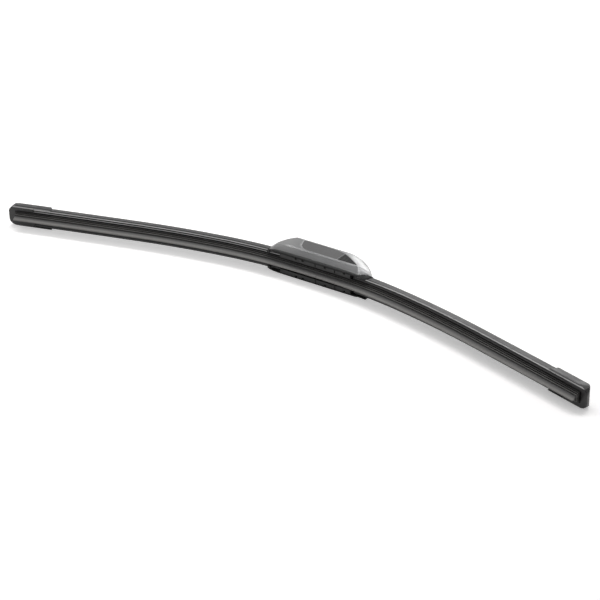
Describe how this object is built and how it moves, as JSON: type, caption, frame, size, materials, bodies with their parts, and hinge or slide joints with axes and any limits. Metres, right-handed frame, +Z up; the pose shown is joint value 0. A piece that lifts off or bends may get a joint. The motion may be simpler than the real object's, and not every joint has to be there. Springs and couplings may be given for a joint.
{
  "type": "wiper blade",
  "caption": "Frameless windscreen wiper blade: bowed rubber squeegee on spring rails, low spoiler, end caps and a covered connector whose adapter takes a hook arm.",
  "frame": {"origin": "bottom centre of the blade's box as it lies on its side", "axes": "+X along the blade towards the end the arm comes in from, +Y from the wiping lip towards the spoiler's back, +Z up"},
  "size_m": [0.463, 0.0752, 0.0169],
  "materials": {
    "rubber": "matte black natural rubber, greyish on the lip's flanks",
    "spring_steel": "blued flat spring steel",
    "spoiler_black": "soft satin black extrusion",
    "cap_black": "fine-grained black plastic",
    "base_black": "black plastic",
    "cover_silver": "silver-grey lacquered plastic, satin gloss",
    "panel_grey": "dark grey satin panel",
    "grip_black": "ribbed black grip",
    "pin_steel": "bright steel",
    "adapter_black": "black plastic"
  },
  "bodies": {
    "blade": {"wiping_rubber": "rubber", "spring_rail_front": "spring_steel", "spring_rail_rear": "spring_steel", "spoiler_left": "spoiler_black", "spoiler_right": "spoiler_black", "end_cap_left": "cap_black", "end_cap_right": "cap_black", "connector_base": "base_black", "connector_cover": "cover_silver", "side_panel_front": "panel_grey", "side_panel_rear": "panel_grey", "grip_front": "grip_black", "grip_rear": "grip_black", "pivot_pin": "pin_steel"},
    "adapter": {"arm_adapter": "adapter_black"}
  },
  "joints": [
    {"name": "arm_pivot", "type": "hinge", "parent": "blade", "child": "adapter", "pos_m": [0.0005, 0.02712, 0.00855], "axis": [0, -0.0097, 1], "range_deg": [-15, 20]}
  ]
}
